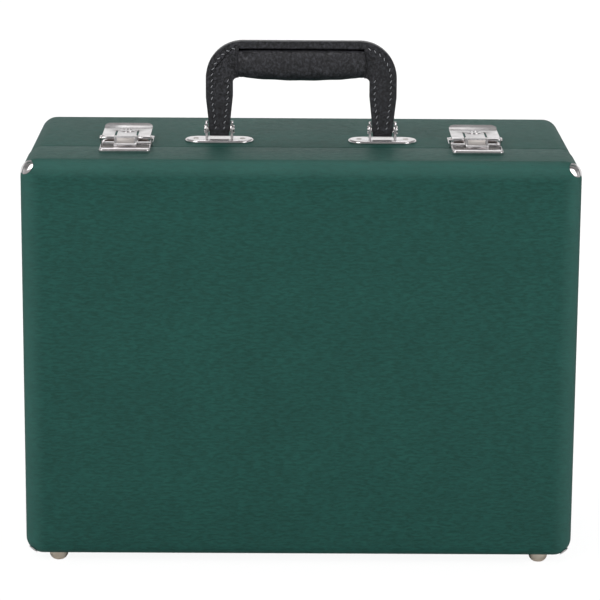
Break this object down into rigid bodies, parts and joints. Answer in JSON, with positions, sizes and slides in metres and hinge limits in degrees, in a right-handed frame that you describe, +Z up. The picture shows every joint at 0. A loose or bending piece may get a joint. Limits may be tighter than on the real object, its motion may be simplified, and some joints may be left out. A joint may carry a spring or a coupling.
{
  "type": "french horn case",
  "caption": "Hard leather-covered french horn case with a hinged lid, lever latches, padded wells, metal feet and a folding carry handle.",
  "frame": {"origin": "on the ground under the middle of the case as it stands on its four bottom feet", "axes": "+X along the width, -Y to the front where the lid is, +Z up through the handle"},
  "size_m": [0.501, 0.2449, 0.4699],
  "materials": {
    "green_leather": "fine grained, satin",
    "black_leather": "grained, satin, stitched",
    "case_wood": "raw plywood",
    "plush_padding": "short black plush over foam",
    "lip_aluminium": "satin anodised",
    "nickel_plate": "polished nickel plate"
  },
  "bodies": {
    "base": {"accessory_bed": "plush_padding", "base_box": "case_wood", "base_cover": "green_leather", "base_lip": "lip_aluminium", "foot_back_high_left": "nickel_plate", "foot_back_high_right": "nickel_plate", "foot_back_low_left": "nickel_plate", "foot_back_low_right": "nickel_plate", "foot_base_left": "nickel_plate", "foot_base_right": "nickel_plate", "handle_pin_left": "nickel_plate", "handle_pin_right": "nickel_plate", "handle_plate_left": "nickel_plate", "handle_plate_right": "nickel_plate", "hinge_base_leaf_left": "nickel_plate", "hinge_base_leaf_right": "nickel_plate", "hinge_pin_left": "nickel_plate", "hinge_pin_right": "nickel_plate", "horn_bed": "plush_padding", "latch_plate_left": "nickel_plate", "latch_plate_right": "nickel_plate"},
    "lid": {"catch_plate_left": "nickel_plate", "catch_plate_right": "nickel_plate", "corner_cap_high_left": "nickel_plate", "corner_cap_high_right": "nickel_plate", "corner_cap_low_left": "nickel_plate", "corner_cap_low_right": "nickel_plate", "foot_lid_left": "nickel_plate", "foot_lid_right": "nickel_plate", "hinge_lid_leaf_left": "nickel_plate", "hinge_lid_leaf_right": "nickel_plate", "lid_box": "case_wood", "lid_cover": "green_leather", "lid_pad": "plush_padding"},
    "handle": {"handle_grip": "black_leather", "handle_strap": "black_leather"},
    "latch_lever_left": {"latch_lever_left": "nickel_plate", "latch_boss_left": "nickel_plate", "latch_hook_pin_left": "nickel_plate", "latch_rivet_left_a": "nickel_plate", "latch_rivet_left_b": "nickel_plate"},
    "latch_hook_left": {"latch_hook_left": "nickel_plate"},
    "latch_lever_right": {"latch_lever_right": "nickel_plate", "latch_boss_right": "nickel_plate", "latch_hook_pin_right": "nickel_plate", "latch_rivet_right_a": "nickel_plate", "latch_rivet_right_b": "nickel_plate"},
    "latch_hook_right": {"latch_hook_right": "nickel_plate"}
  },
  "joints": [
    {"name": "lid_hinge", "type": "hinge", "parent": "base", "child": "lid", "pos_m": [0, -0.05055, 0.0061], "axis": [1, 0, 0], "range_deg": [0, 100]},
    {"name": "handle_swing", "type": "hinge", "parent": "base", "child": "handle", "pos_m": [0, -0.02155, 0.388], "axis": [1, 0, 0], "range_deg": [-83, 83]},
    {"name": "latch_lever_left", "type": "hinge", "parent": "base", "child": "latch_lever_left", "pos_m": [-0.159, -0.04855, 0.3838], "axis": [1, 0, 0], "range_deg": [0, 100]},
    {"name": "latch_hook_left", "type": "hinge", "parent": "latch_lever_left", "child": "latch_hook_left", "pos_m": [-0.159, -0.04155, 0.3824], "axis": [1, 0, 0], "range_deg": [-115, 0]},
    {"name": "latch_lever_right", "type": "hinge", "parent": "base", "child": "latch_lever_right", "pos_m": [0.159, -0.04855, 0.3838], "axis": [1, 0, 0], "range_deg": [0, 100]},
    {"name": "latch_hook_right", "type": "hinge", "parent": "latch_lever_right", "child": "latch_hook_right", "pos_m": [0.159, -0.04155, 0.3824], "axis": [1, 0, 0], "range_deg": [-115, 0]}
  ],
  "couplings": [
    {"joint": "latch_hook_left", "follows": "latch_lever_left", "ratio": -1.15},
    {"joint": "latch_hook_right", "follows": "latch_lever_right", "ratio": -1.15}
  ]
}
